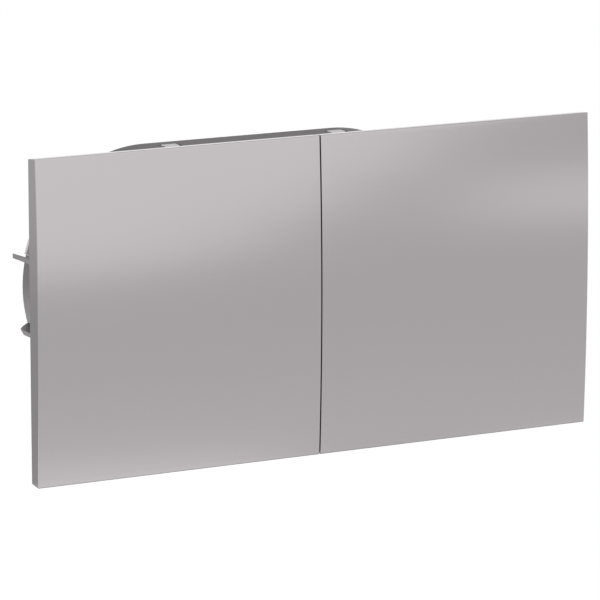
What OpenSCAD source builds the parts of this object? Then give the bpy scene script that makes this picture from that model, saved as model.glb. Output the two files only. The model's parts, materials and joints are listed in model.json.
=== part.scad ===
// Two spring-centred rockers on a flush wall switch.
// X runs to the right along the wall, Y runs into the wall and Z runs up.
// The origin is the middle of the wall plane, on which the pads of the support frame lie.

/* [Rockers] */
// Width of one rocker
rocker_w = 67.85; // [62:0.05:75]
// Height of a rocker
rocker_h = 71; // [66:0.5:80]
// Gap between the two rockers
rocker_gap = 0.3; // [0.3:0.05:1]
// Distance from the wall to the front edges of the rockers
rocker_stand = 11; // [10.5:0.1:13]
// Rise of the bowed face in its middle
rocker_bow = 0.9; // [0.5:0.1:2]
// Depth of the skirt round a rocker
rocker_skirt = 3.2; // [2.8:0.1:4]
// Thickness of the skirt
rocker_wall = 1.4; // [1:0.1:2]
// Draft of the skirt's upper and lower walls, over their depth
skirt_draft = 0.35; // [0:0.05:0.6]
// Thickness of the bowed face
rocker_face = 1.6; // [1.2:0.1:2]
// Tilt of a rocker each way, in degrees
rocker_tilt = 3; // [2:0.5:4]
// Thickness of the ribs behind a rocker
rib_t = 1.2; // [0.8:0.1:2]
// Height of the stiffening ribs behind a rocker
rib_h = 0.8; // [0.4:0.1:1]
// Distance between the seat ribs that stand on a carrier
seat_pitch = 14; // [12:0.5:16]
// Thickness of a hook that clips a rocker to its carrier
hook_t = 1.2; // [0.8:0.1:1.6]
// Length of a hook along the carrier's edge
hook_l = 6; // [4:0.5:7]
// Reach of a hook under the carrier
hook_reach = 1; // [0.6:0.1:1.2]
// Distance of a hook above or below the axle
hook_z = 8; // [7:0.5:9]

/* [Carriers and axles] */
// Width of a carrier, along its axle
carrier_w = 21; // [19:0.5:22]
// Height of a carrier
carrier_h = 42; // [40:0.5:46]
// Thickness of a carrier's plate
carrier_t = 1.4; // [1:0.1:1.8]
// Diameter of a carrier's hub
hub_d = 4.4; // [4:0.1:5]
// Diameter of an axle
axle_d = 2.4; // [2:0.1:3]
// Thickness of a bearing post
post_t = 2.6; // [2:0.1:2.8]
// Length of the feet that press the plungers
foot_l = 1.2; // [0.8:0.1:1.6]
// Width of a foot
foot_w = 6; // [5:0.5:8]
// Margin round the windows in a carrier
window_edge = 1.2; // [0.8:0.1:1.6]

/* [Plungers and springs] */
// Distance of a plunger above or below the axle
plunger_z = 16; // [15:0.5:17]
// Diameter of a plunger
plunger_d = 5; // [4:0.1:5.6]
// Diameter of a plunger's collar
collar_d = 7.4; // [6.6:0.1:8]
// Thickness of a plunger's collar
collar_t = 1; // [0.8:0.1:1.6]
// Diameter of a plunger's tail
tail_d = 2.8; // [2.2:0.1:3]
// Length of a plunger's tail behind its contact bridge
tail_l = 4; // [3:0.5:6]
// Wall of a plunger's guide
guide_wall = 1.7; // [1.2:0.1:2]
// Length of a guide behind the deck
guide_l = 7.6; // [6:0.2:8.4]
// Mean diameter of a return spring
spring_d = 4.2; // [4:0.1:4.8]
// Diameter of the spring wire
spring_wire = 0.5; // [0.3:0.05:0.6]
// Turns of a return spring
spring_turns = 6; // [4:1:8]
// Depth of a spring's cup in the contact base
cup_depth = 4.9; // [4:0.1:6]
// Wall of a spring's cup
cup_wall = 1.2; // [0.8:0.1:1.6]

/* [Contacts] */
// Distance between the two contacts of a bridge
contact_pitch = 12; // [11:0.5:13]
// Diameter of a contact
contact_d = 3.2; // [2.4:0.1:4]
// Height of a contact
contact_h = 0.8; // [0.6:0.1:1.2]
// Gap that is left between the contacts at full tilt
contact_clear = 0.12; // [0.1:0.01:0.3]
// Width of the contact strips
strip_w = 5; // [4:0.1:5.4]
// Thickness of the contact strips
strip_t = 0.8; // [0.5:0.1:1]

/* [Support frame] */
// Distance between the mounting holes along the wall
mount_pitch_x = 111; // [109:0.5:114]
// Distance between the mounting holes up the wall
mount_pitch_z = 52; // [50:0.5:54]
// Diameter of a mounting hole
mount_hole_d = 4.2; // [3.2:0.1:5]
// Distance from a mounting hole to the frame's end
frame_edge_x = 7.5; // [6:0.5:9]
// Distance from a mounting hole to the frame's upper or lower edge
frame_edge_z = 6.5; // [5:0.5:8]
// Thickness of the frame
frame_t = 1.5; // [1:0.1:1.8]
// Radius of the frame's corners
frame_corner = 4; // [2:0.5:6]
// Diameter of the pads pressed back round the mounting holes
pad_d = 11; // [10:0.5:12]
// Depth of the pads, which lie on the wall
pad_step = 0.4; // [0.2:0.1:0.6]

/* [Deck] */
// Thickness of the deck
deck_t = 1.2; // [1:0.1:1.6]
// Margin of the deck beyond its screws
deck_margin = 4; // [3.5:0.5:5]
// Radius of the deck's corners
deck_corner = 8; // [5:0.5:10]
// Wall of the neck that locates the deck in the frame
neck_wall = 1.2; // [0.8:0.1:2]
// Depth of the neck behind the frame
neck_l = 3; // [1:0.5:5]
// Length of a stop pad along the axle
stop_l = 4; // [3:0.5:5]
// Clearance of the deck round a claw screw's head
head_clear = 0.6; // [0.4:0.1:0.8]

/* [Casing] */
// Width of the casing over its round ends
casing_w = 106.8; // [103:0.2:110]
// Height of the casing
casing_h = 59.6; // [58:0.2:62]
// Depth of the casing behind the wall plane
casing_depth = 28; // [26:0.5:34]
// Wall of the casing
casing_wall = 2; // [1.6:0.1:2.4]
// Diameter of a screw boss
boss_d = 5.4; // [5:0.1:6]
// Length of a screw boss
boss_l = 11; // [9:0.5:11.5]
// Angle of a screw boss round the casing's end, in degrees
boss_angle = 30; // [28:1:32]
// Distance of the ledges from the middle
ledge_x = 12; // [8:0.5:14]
// Width of a ledge
ledge_w = 4; // [3:0.5:6]
// Depth of a ledge
ledge_l = 4; // [2:0.5:6]
// Overlap of a ledge on the contact base
ledge_lap = 1; // [0.6:0.1:1.5]

/* [Rear cover] */
// Thickness of the rear cover
cover_t = 1.4; // [1:0.1:2]
// Distance of a snap arm from the middle of its pair
snap_x = 20.9; // [18:0.1:23]
// Shift of the upper pair of snap arms to the right, and of the lower pair to the left
snap_shift = 1.6; // [0:0.1:2]
// Width of a snap arm
snap_w = 3.6; // [3:0.1:5]
// Clearance of the casing's window beside a snap arm
snap_clear = 0.6; // [0.2:0.1:1]
// Thickness of a snap arm
snap_t = 1.4; // [1:0.1:1.8]
// Distance from the casing's rear rim to the middle of a snap nose
snap_back = 5.8; // [5:0.1:9]
// Length of a snap nose
snap_l = 4.3; // [3:0.1:5]
// Rise of a snap nose above the casing
snap_proud = 0.1; // [0:0.1:1]
// Angle of an end tab round the casing's end, in degrees
tab_angle = 17.5; // [14:0.1:22]
// Width of an end tab
tab_w = 3.4; // [3:0.1:5]
// Thickness of an end tab
tab_t = 0.9; // [0.6:0.1:1]
// Rise of an end tab above the casing
tab_proud = 0.45; // [0.2:0.05:1.2]
// Length of the casing's notch for an end tab
tab_notch = 6; // [4:0.5:8]
// Side of a square wire entry
entry = 3.2; // [2.6:0.1:3.6]
// Distance between the two wire entries of a terminal
entry_pitch = 3.9; // [3.8:0.1:4.4]
// Width of a release slot
release_w = 1.4; // [1:0.1:1.6]
// Depth of the recesses in the cover: round the wire entries, at the rim and in the wire gauge
recess_t = 0.5; // [0.2:0.1:0.8]
// Width of the step along the cover's rim
rim_w = 1.6; // [1:0.1:3]
// Length of the groove that shows how far to strip a wire
gauge_l = 11; // [9:0.5:13]
// Width of that groove
gauge_w = 2.4; // [1.6:0.1:3]

/* [Terminals] */
// Thickness of the contact base's plate
base_t = 2.6; // [2:0.1:3.4]
// Margin of the contact base round the contacts
base_edge = 1; // [0.6:0.1:1.4]
// Height of the contact base beyond a plunger
base_rise = 6; // [5.6:0.1:6.4]
// Radius of the contact base's corners
base_corner = 8; // [7:0.5:10]
// Distance from a plunger to the terminals beside it
term_in = 14; // [13:0.5:15]
// Width of a terminal chamber
term_w = 9; // [8.6:0.1:9.6]
// Height of a terminal chamber
term_h = 8.5; // [8.2:0.1:8.8]
// Wall of a terminal chamber
term_wall = 1; // [0.6:0.1:1.2]
// Thickness of a terminal clamp's sheet
clamp_t = 0.7; // [0.5:0.1:0.9]
// Distance from a terminal clamp to the rear cover
clamp_back = 1.5; // [1:0.1:4]
// Thickness of a clamp spring
leaf_t = 0.4; // [0.3:0.05:0.5]
// Rise of a clamp spring's free leg
leaf_rise = 3.5; // [2:0.1:4]

/* [Claws] */
// Thickness of the claw sheet
claw_t = 1; // [0.8:0.1:1.4]
// Distance between the two arms of a claw
claw_gap = 15.3; // [14.4:0.1:16]
// Distance from the casing's end to a claw's outer face
claw_stand = 3.9; // [3.4:0.1:4.4]
// Distance from the casing's end to a claw's pivot
claw_pivot_out = 5.6; // [5.2:0.1:6]
// Distance of a claw's pivot behind the wall plane
claw_pivot_y = 3.5; // [3.2:0.1:4.2]
// Radius of the eye round a claw's pivot
claw_eye_r = 2.6; // [2.4:0.1:2.8]
// Diameter of a claw's pivot pin
claw_pin_d = 2.5; // [2:0.1:3]
// Height and overhang of a pivot pin's riveted ends
pin_head = 0.6; // [0.4:0.1:0.8]
// Outward swing of a claw, in degrees
claw_swing = 12; // [8:1:14]
// Distance of a claw's heel behind its pivot
heel_back = 3; // [2.8:0.1:3.6]
// Width of a claw's heel
heel_w = 11; // [8:0.5:12]
// Reach of a claw's heel past its screw
heel_lap = 1.5; // [1:0.1:2]
// Clearance round a claw's heel in its pocket
pocket_clear = 1.2; // [1:0.1:1.6]
// Distance from the wall plane to the rear edge of a claw's web
web_end = 12.5; // [11:0.5:14]
// Distance from the wall plane to the tip of the prong
prong_end = 23.9; // [20:0.1:27]
// Width of the prong at its root
prong_w = 1.2; // [1:0.1:2]
// Width of the prong at its tip
prong_tip = 0.3; // [0.2:0.1:0.8]
// Outward lean of the prong at its tip
prong_lean = 0.25; // [0:0.05:1]
// Distance from the wall plane to the lug's outer corner
lug_start = 20.8; // [16:0.1:22]
// Length of the lug's slanting biting edge, measured into the wall
lug_cut = 5.8; // [4:0.1:7]
// Radius of the lug's biting edge
lug_r = 26; // [15:1:40]
// Undercut of the lug's biting edge
lug_bevel = 0.8; // [0:0.1:1]
// Thickness of the frame ears that hold a claw's pin
ear_t = 1.2; // [1:0.1:1.5]
// Radius of a frame ear
ear_r = 2.8; // [2.4:0.1:3]

/* [Screws] */
// Diameter of an assembly screw
screw_d = 2.5; // [2:0.1:3]
// Length of an assembly screw under its head
screw_l = 11; // [8:0.5:12]
// Diameter of an assembly screw's head
screw_head_d = 5; // [4:0.1:5.4]
// Height of an assembly screw's head
screw_head_h = 1.6; // [1.2:0.1:2]
// Diameter of a claw screw
claw_screw_d = 3.5; // [3:0.1:4]
// Diameter of a claw screw's head
claw_head_d = 6; // [5:0.1:6.4]
// Height of a claw screw's head
claw_head_h = 2; // [1.5:0.1:2.4]
// Distance of a claw screw inside the casing's end
claw_screw_in = 0.9; // [0.6:0.1:1.4]
// Diameter of a claw screw's dog point
dog_d = 2; // [1.6:0.1:2.4]
// Length of a claw screw's dog point
dog_l = 1.2; // [0.8:0.1:1.6]
// Width of a screwdriver slot
slot_w = 0.9; // [0.6:0.1:1.2]
// Depth of a screwdriver slot
slot_depth = 0.9; // [0.5:0.1:1.1]

/* [Fits] */
// Radial play of a shaft that turns or slides in a hole
running_fit = 0.05; // [0.02:0.01:0.1]
// Play of pieces that clip or seat together
snug = 0.1; // [0.05:0.05:0.2]
// Clearance of pieces that pass each other
play = 0.3; // [0.3:0.05:0.4]

/* [Hidden] */
$fn = 96;
far = 200;
bow_fn = 1440;
coil_sides = 6;
coil_rings = 10;
hub_sink = 0.2;
tip_chamfer = 0.6;

SIDES = [-1, 1];
LEFT = -1;
RIGHT = 1;
TOP = 1;
BOTTOM = -1;

// Casing outline: two round ends, joined by level walls
casing_r = casing_h / 2;
casing_end = casing_w / 2;
casing_arc_x = casing_end - casing_r;
boss_at = casing_r - boss_d / 2 - snug;
boss_x = casing_arc_x + boss_at * cos(boss_angle);
boss_z = boss_at * sin(boss_angle);

// Mechanism places along the wall, measured in from the screw bosses
base_half_w = boss_x - boss_d / 2 - play;
mech_x = base_half_w - base_edge - strip_w / 2 - contact_pitch / 2;
base_h = 2 * (plunger_z + base_rise);
term_x = mech_x - term_in;
outer_contact_x = mech_x + contact_pitch / 2;
inner_contact_x = mech_x - contact_pitch / 2;

// Levels from the front to the back
frame_back = -pad_step;
frame_front = frame_back - frame_t;
deck_back = frame_front;
deck_front = deck_back - deck_t;
pivot_y = deck_front - play - hub_d / 2;
carrier_back = pivot_y - hub_d / 2 + hub_sink;
carrier_front = carrier_back - carrier_t;
foot_y = carrier_back + foot_l;
rocker_front = -rocker_stand;
rocker_apex = rocker_front - rocker_bow;
skirt_back = rocker_front + rocker_skirt;
bow_r = (pow(rocker_h / 2, 2) + pow(rocker_bow, 2)) / (2 * rocker_bow);
travel = plunger_z * rocker_tilt * PI / 180;
tip_y = foot_y + play;
guide_end = deck_back + guide_l;
collar_front = guide_end + travel + play;
collar_back = collar_front + collar_t;
bridge_back = collar_back + strip_t;
bridge_face = bridge_back + contact_h;
fixed_face = bridge_face + travel + contact_clear;
strip_front = fixed_face + contact_h;
base_front = strip_front + strip_t;
base_back = base_front + base_t;
spring_seat = base_front + cup_depth;
cover_front = casing_depth - cover_t;
clamp_front = base_back + play;
clamp_end = cover_front - clamp_back;

// Frame opening and the neck of the deck that sits in it
guide_d = plunger_d + 2 * guide_wall;
open_w = 2 * (mech_x + guide_d / 2 + neck_wall + play);
open_h = 2 * (plunger_z + guide_d / 2 + neck_wall + play);
open_corner = deck_corner - neck_wall;
neck_w = open_w - 2 * play;
neck_h = open_h - 2 * play;
deck_w = 2 * (boss_x + deck_margin);
deck_h = open_h + 2 * deck_margin;

// Posts, stops and the carriers between them
post_in = carrier_w / 2 + play;
post_r = hub_d / 2 + hub_sink;
stop_front = carrier_back + carrier_h / 2 * sin(rocker_tilt) + play / 2;
hook_x = carrier_w / 2 + snug;

// Terminals
clamp_w = term_w - 2 * play;
clamp_h = term_h - 2 * play;
busbar_x = term_x + clamp_w / 2 - clamp_t - snug - strip_t;
leaf_x = term_x - clamp_w / 2 + clamp_t + snug;
entry_x = busbar_x - snug - entry / 2;
release_x = leaf_x + release_w / 2;

// Claws, measured from the casing's end
claw_outer = casing_end + claw_stand;
claw_inner = claw_outer - claw_t;
claw_pivot_x = casing_end + claw_pivot_out;
claw_screw_x = casing_end - claw_screw_in;
claw_lever = claw_pivot_x - claw_screw_x - dog_d / 2;
screw_advance = claw_lever * claw_swing * PI / 180;
heel_front = claw_pivot_y + heel_back;
heel_back_y = heel_front + claw_t;
heel_end = claw_screw_x - claw_screw_d / 2 - heel_lap;
arm_z = claw_gap / 2;
ear_z = arm_z + claw_t + play;
lug_inner = casing_arc_x + sqrt(pow(casing_r, 2) - pow(arm_z, 2)) + play + snug;
lug_w = claw_outer - lug_inner;
lug_end = lug_start + lug_cut;
lug_chord = norm([lug_w, lug_cut]);
lug_centre = [claw_outer - lug_w / 2, lug_start + lug_cut / 2]
  - [lug_cut, lug_w] / lug_chord * sqrt(pow(lug_r, 2) - pow(lug_chord / 2, 2));
pocket_in = heel_end - pocket_clear;
pocket_h = heel_w + 2 * pocket_clear;
pocket_end = heel_back_y + (claw_pivot_x - heel_end) * sin(claw_swing) + pocket_clear;

// Frame outline: it covers the mounting holes and reaches past the ears
frame_half_w = max(mount_pitch_x / 2 + frame_edge_x, claw_pivot_x + ear_r);
frame_h = mount_pitch_z + 2 * frame_edge_z;

// Puts what is drawn on the right of the switch onto the given side
module on_side(side) {
  if (side == LEFT) mirror([1, 0, 0]) children();
  else children();
}

// Puts what is drawn in the upper half onto the given half
module on_half(half) {
  if (half == BOTTOM) mirror([0, 0, 1]) children();
  else children();
}

// Box between two corners
module block(low, high) {
  translate(low) cube(high - low);
}

// Outline in X and Z, extruded into the wall between two levels
module slab(y0, y1) {
  translate([0, y1, 0]) rotate([90, 0, 0]) linear_extrude(y1 - y0) children();
}

// Outline in Y and Z, extruded along the wall
module along_x(x0, x1) {
  translate([x0, 0, 0]) rotate([90, 0, 90]) linear_extrude(x1 - x0) children();
}

// Outline in X and Y, extruded upward
module along_z(z0, z1) {
  translate([0, 0, z0]) linear_extrude(z1 - z0) children();
}

// Round rod into the wall between two levels
module rod(x, z, d, y0, y1) {
  translate([x, y0, z]) rotate([-90, 0, 0]) cylinder(d = d, h = y1 - y0);
}

// Rectangle with round corners
module rounded(w, h, r) {
  square([w - 2 * r, h], center = true);
  square([w, h - 2 * r], center = true);
  for (x = SIDES, z = SIDES) translate([x * (w / 2 - r), z * (h / 2 - r)]) circle(r);
}

// Rectangle with half-round ends
module obround(w, h) {
  square([w - h, h], center = true);
  for (x = SIDES) translate([x * (w - h) / 2, 0]) circle(h / 2);
}

// Places of the four plungers and of the four screw bosses
module at_plungers() {
  for (x = SIDES, z = SIDES) translate([x * mech_x, 0, z * plunger_z]) children();
}

module at_bosses() {
  for (x = SIDES, z = SIDES) translate([x * boss_x, 0, z * boss_z]) children();
}

// Places of the four mounting holes
module at_mounts() {
  for (x = SIDES, z = SIDES) translate([x * mount_pitch_x / 2, 0, z * mount_pitch_z / 2]) children();
}

// Side section of a rocker, bowed at the front and drawn in towards the given level
module bowed_section(radius, height, back) {
  back_z = height / 2 - skirt_draft * (back - rocker_front) / rocker_skirt;
  intersection() {
    translate([rocker_apex + bow_r, 0]) circle(radius, $fn = bow_fn);
    polygon([
      [rocker_apex, -height / 2],
      [rocker_front, -height / 2],
      [back, -back_z],
      [back, back_z],
      [rocker_front, height / 2],
      [rocker_apex, height / 2]
    ]);
  }
}

// Hook that reaches round the upper edge of a carrier's side
module rocker_hook() {
  root_y = rocker_apex + rocker_face / 2;
  nose_y = carrier_back + snug;
  end_y = nose_y + hook_t;
  block([hook_x, root_y, hook_z - hook_l / 2], [hook_x + hook_t, end_y, hook_z + hook_l / 2]);
  block([hook_x - hook_reach, nose_y, hook_z - hook_l / 2], [hook_x + hook_t, end_y, hook_z + hook_l / 2]);
}

// Bowed cap with a skirt, ribs that stand on its carrier, and four hooks
module rocker(side) {
  x0 = rocker_gap / 2;
  x1 = x0 + rocker_w;
  inner_h = rocker_h - 2 * rocker_wall;
  root_y = rocker_apex + rocker_face / 2;
  rib_back = rocker_front + rocker_face + rib_h;
  color("#b9b5b6") on_side(side) {
    difference() {
      along_x(x0, x1) bowed_section(bow_r, rocker_h, skirt_back);
      along_x(x0 + rocker_wall, x1 - rocker_wall)
        bowed_section(bow_r - rocker_face, inner_h, skirt_back + rocker_wall);
    }
    for (s = SIDES) {
      seat_x = mech_x + s * seat_pitch / 2;
      block([seat_x - rib_t / 2, root_y, -carrier_h / 2], [seat_x + rib_t / 2, carrier_front, carrier_h / 2]);
      level_z = s * (carrier_h / 2 + rib_t / 2 + play);
      block([x0 + rocker_wall / 2, rocker_front, level_z - rib_t / 2],
            [x1 - rocker_wall / 2, rib_back, level_z + rib_t / 2]);
    }
    translate([mech_x, 0, 0]) for (s = SIDES, half = SIDES) on_side(s) on_half(half) rocker_hook();
  }
}

// Plate on a hub, with feet that press the plungers
module rocker_carrier(side) {
  window_w = seat_pitch - rib_t - 2 * window_edge;
  window_z0 = hub_d / 2 + window_edge;
  window_z1 = plunger_z - plunger_d / 2 - window_edge;
  color("#e8e6e1") on_side(side) translate([mech_x, 0, 0]) difference() {
    union() {
      block([-carrier_w / 2, carrier_front, -carrier_h / 2], [carrier_w / 2, carrier_back, carrier_h / 2]);
      along_x(-carrier_w / 2, carrier_w / 2) translate([pivot_y, 0]) circle(d = hub_d);
      block([-carrier_w / 2, carrier_front, -hub_d / 2], [carrier_w / 2, pivot_y, hub_d / 2]);
      for (half = SIDES) on_half(half)
        block([-foot_w / 2, carrier_front, plunger_z - plunger_d / 2],
              [foot_w / 2, foot_y, plunger_z + plunger_d / 2]);
    }
    along_x(-far, far) translate([pivot_y, 0]) circle(d = axle_d + 2 * running_fit);
    for (half = SIDES) on_half(half)
      block([-window_w / 2, -far, window_z0], [window_w / 2, far, window_z1]);
  }
}

// Steel pin through a carrier's hub and the two posts beside it
module axle(side) {
  reach = post_in + post_t;
  color("#c9ccd0") on_side(side)
    along_x(mech_x - reach, mech_x + reach) translate([pivot_y, 0]) circle(d = axle_d);
}

// Bearing post for one end of an axle
module bearing_post() {
  along_x(post_in, post_in + post_t) difference() {
    union() {
      translate([pivot_y, 0]) circle(post_r);
      translate([pivot_y, -post_r]) square([deck_back - pivot_y, 2 * post_r]);
    }
    translate([pivot_y, 0]) circle(d = axle_d + 2 * running_fit);
  }
}

// Front plate of the mechanism, with posts, stops, plunger guides and a neck
module deck() {
  stop_z0 = plunger_z + plunger_d / 2 + play;
  color("#8d9095") difference() {
    union() {
      slab(deck_front, deck_back) rounded(deck_w, deck_h, deck_corner);
      slab(deck_back, frame_back + neck_l) difference() {
        rounded(neck_w, neck_h, open_corner);
        rounded(neck_w - 2 * neck_wall, neck_h - 2 * neck_wall, open_corner - neck_wall);
      }
      at_plungers() rod(0, 0, guide_d, deck_back, guide_end);
      for (side = SIDES) on_side(side) translate([mech_x, 0, 0]) for (s = SIDES) on_side(s) {
        bearing_post();
        for (half = SIDES) on_half(half)
          block([seat_pitch / 2 - stop_l / 2, stop_front, stop_z0],
                [seat_pitch / 2 + stop_l / 2, deck_back, carrier_h / 2]);
      }
    }
    at_plungers() rod(0, 0, plunger_d + 2 * running_fit, -far, far);
    at_bosses() rod(0, 0, screw_d + 2 * play, -far, far);
    for (x = SIDES) rod(x * claw_screw_x, 0, claw_head_d + 2 * head_clear, -far, far);
  }
}

// Ear of the frame, bent back to hold one end of a claw's pin
module frame_ear() {
  along_z(ear_z, ear_z + ear_t) difference() {
    union() {
      translate([claw_pivot_x, claw_pivot_y]) circle(ear_r);
      translate([claw_pivot_x - ear_r, frame_front]) square([2 * ear_r, claw_pivot_y - frame_front]);
    }
    translate([claw_pivot_x, claw_pivot_y]) circle(d = claw_pin_d + 2 * running_fit);
  }
}

// Pressed steel plate that lies on the wall and carries everything else
module support_frame() {
  notch_l = claw_pivot_y + ear_r;
  color("#b4b7ba") {
    difference() {
      union() {
        slab(frame_front, frame_back) rounded(2 * frame_half_w, frame_h, frame_corner);
        at_mounts() rod(0, 0, pad_d, frame_front, 0);
      }
      at_mounts() rod(0, 0, pad_d - 2 * frame_t, -far, frame_front + pad_step);
      at_mounts() rod(0, 0, mount_hole_d, -far, far);
      slab(-far, far) rounded(open_w, open_h, open_corner);
      at_bosses() rod(0, 0, screw_d + 2 * play, -far, far);
      for (x = SIDES) rod(x * claw_screw_x, 0, claw_screw_d + 2 * running_fit, -far, far);
      for (side = SIDES, half = SIDES) on_side(side) on_half(half)
        block([claw_pivot_x - ear_r, -far, ear_z + ear_t], [far, far, ear_z + ear_t + notch_l]);
    }
    for (side = SIDES, half = SIDES) on_side(side) on_half(half) frame_ear();
  }
}

// Puts what is drawn at the upper right beside each prong: at the upper left and the lower right
module at_prongs() {
  on_side(LEFT) children();
  on_half(BOTTOM) children();
}

// Places of the four snap arms, which are alike when the cover is turned half round
module at_snaps() {
  for (turn = [0, 180], x = SIDES)
    rotate([0, turn, 0]) translate([x * snap_x + snap_shift, 0, 0]) children();
}

// Tab of the rear cover, or the notch for it, at one round end
module end_tab(grow, y0, y1) {
  half_w = tab_w / 2 + grow;
  translate([casing_arc_x, 0, 0]) rotate([0, -tab_angle, 0])
    block([casing_r - 2 * casing_wall, y0, -half_w], [casing_r + tab_proud + grow, y1, half_w]);
}

// Dark sleeve with round ends, screw bosses, ledges and a pocket for each claw's heel
module casing() {
  inner_top = casing_r - casing_wall;
  window_y = casing_depth - snap_back;
  color("#56575b") difference() {
    union() {
      slab(frame_back, casing_depth) difference() {
        obround(casing_w, casing_h);
        obround(casing_w - 2 * casing_wall, casing_h - 2 * casing_wall);
      }
      at_bosses() rod(0, 0, boss_d, frame_back, frame_back + boss_l);
      for (x = SIDES, half = SIDES) on_half(half)
        block([x * ledge_x - ledge_w / 2, base_front - ledge_l, base_h / 2 - ledge_lap],
              [x * ledge_x + ledge_w / 2, base_front, inner_top + casing_wall / 2]);
      intersection() {
        slab(frame_back, pocket_end + casing_wall) obround(casing_w, casing_h);
        for (side = SIDES) on_side(side)
          block([pocket_in - casing_wall, -far, -pocket_h / 2 - casing_wall],
                [far, far, pocket_h / 2 + casing_wall]);
      }
    }
    at_bosses() rod(0, 0, screw_d + 2 * running_fit, -far, deck_front + screw_l + play);
    for (side = SIDES) on_side(side)
      block([pocket_in, -far, -pocket_h / 2], [far, pocket_end, pocket_h / 2]);
    at_snaps()
      block([-snap_w / 2 - snap_clear, window_y - snap_l / 2 - snug, inner_top - casing_wall],
            [snap_w / 2 + snap_clear, window_y + snap_l / 2 + snug, far]);
    at_prongs() end_tab(snug, casing_depth - tab_notch, far);
  }
}

// Arm of the rear cover with a wedge nose that snaps into the casing's window
module snap_arm() {
  outer_z = casing_r - casing_wall - snug;
  nose_y = casing_depth - snap_back;
  along_x(-snap_w / 2, snap_w / 2) polygon([
    [cover_front, outer_z - snap_t],
    [cover_front, outer_z],
    [nose_y + snap_l / 2, outer_z],
    [nose_y + snap_l / 2, casing_r + snap_proud],
    [nose_y, casing_r + snap_proud],
    [nose_y - snap_l / 2, outer_z],
    [nose_y - snap_l / 2, outer_z - snap_t]
  ]);
}

// Light plate that closes the casing, with wire entries, release slots and a wire gauge
module rear_cover() {
  inset = casing_wall + snug;
  inner = inset + rim_w;
  color("#d4d5d3") difference() {
    union() {
      slab(cover_front, casing_depth - recess_t) obround(casing_w - 2 * inset, casing_h - 2 * inset);
      slab(cover_front, casing_depth) obround(casing_w - 2 * inner, casing_h - 2 * inner);
      at_snaps() snap_arm();
      at_prongs() end_tab(0, casing_depth - tab_t, casing_depth);
    }
    for (side = SIDES, row = [-1:1]) on_side(side) {
      z = row * plunger_z;
      block([term_x - term_w / 2, casing_depth - recess_t, z - term_h / 2],
            [term_x + term_w / 2, far, z + term_h / 2]);
      for (s = SIDES) {
        entry_z = z + s * entry_pitch / 2;
        block([entry_x - entry / 2, 0, entry_z - entry / 2], [entry_x + entry / 2, far, entry_z + entry / 2]);
      }
      block([release_x - release_w / 2, 0, z - strip_w / 2],
            [release_x + release_w / 2, far, z + strip_w / 2]);
    }
    slab(casing_depth - recess_t, far) obround(gauge_l, gauge_w);
  }
}

// Insulating block with terminal chambers behind it and a cup for each spring
module contact_base() {
  cup_bore = spring_d + spring_wire + 2 * play;
  chamber = [term_w + 2 * term_wall, term_h + 2 * term_wall];
  color("#ece9df") difference() {
    union() {
      slab(base_front, base_back) rounded(2 * base_half_w, base_h, base_corner);
      for (x = SIDES, row = [-1:1])
        slab(base_back, cover_front) translate([x * term_x, row * plunger_z]) square(chamber, center = true);
      at_plungers() rod(0, 0, cup_bore + 2 * cup_wall, base_front, spring_seat + cup_wall);
    }
    at_plungers() rod(0, 0, cup_bore, 0, spring_seat);
    for (x = SIDES, row = [-1:1])
      slab(base_back, far) translate([x * term_x, row * plunger_z]) square([term_w, term_h], center = true);
    for (side = SIDES, row = [-1:1]) on_side(side) {
      z = row * plunger_z;
      block([busbar_x - snug, 0, z - strip_w / 2 - snug],
            [busbar_x + strip_t + snug, far, z + strip_w / 2 + snug]);
    }
  }
}

// Stepped pin with a chamfered tip, a collar and a thin tail
module plunger(side, half) {
  r = plunger_d / 2;
  color("#f0efe9") on_side(side) on_half(half) translate([mech_x, 0, plunger_z]) rotate([-90, 0, 0])
    rotate_extrude() polygon([
      [0, tip_y],
      [r - tip_chamfer, tip_y],
      [r, tip_y + tip_chamfer],
      [r, collar_front],
      [collar_d / 2, collar_front],
      [collar_d / 2, collar_back],
      [tail_d / 2, collar_back],
      [tail_d / 2, bridge_back + tail_l],
      [0, bridge_back + tail_l]
    ]);
}

// Point on a coil about the Y axis, at a share of its length
function coil_point(share, r, y0, y1, turns) =
  [r * cos(360 * turns * share), y0 + (y1 - y0) * share, r * sin(360 * turns * share)];

// Round ring of the coil's wire at that share, square to the wire
function coil_ring(share, r, wire, y0, y1, turns, sides) =
  let (
    angle = 360 * turns * share,
    centre = coil_point(share, r, y0, y1, turns),
    outward = [cos(angle), 0, sin(angle)],
    lean = atan2(y1 - y0, 2 * PI * r * turns),
    across = [sin(angle) * sin(lean), cos(lean), -cos(angle) * sin(lean)]
  )
  [for (i = [0:sides - 1])
    let (turn = 360 * i / sides)
    centre + wire / 2 * (cos(turn) * outward + sin(turn) * across)];

// Coil spring between a contact bridge and its cup
module return_spring(side, half) {
  sides = coil_sides;
  rings = coil_rings * spring_turns;
  y0 = bridge_back + spring_wire / 2 + running_fit;
  y1 = spring_seat - spring_wire / 2 - running_fit;
  points = [for (k = [0:rings])
    each coil_ring(k / rings, spring_d / 2, spring_wire, y0, y1, spring_turns, sides)];
  walls = [for (k = [0:rings - 1], i = [0:sides - 1])
    let (a = k * sides + i, b = k * sides + (i + 1) % sides)
    each [[a, b, b + sides], [a, b + sides, a + sides]]];
  caps = [for (i = [1:sides - 2]) each [
    [0, i + 1, i],
    [rings * sides, rings * sides + i, rings * sides + i + 1]]];
  color("#a9adb2") on_side(side) on_half(half) translate([mech_x, 0, plunger_z])
    polyhedron(points, concat(walls, caps));
}

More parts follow.
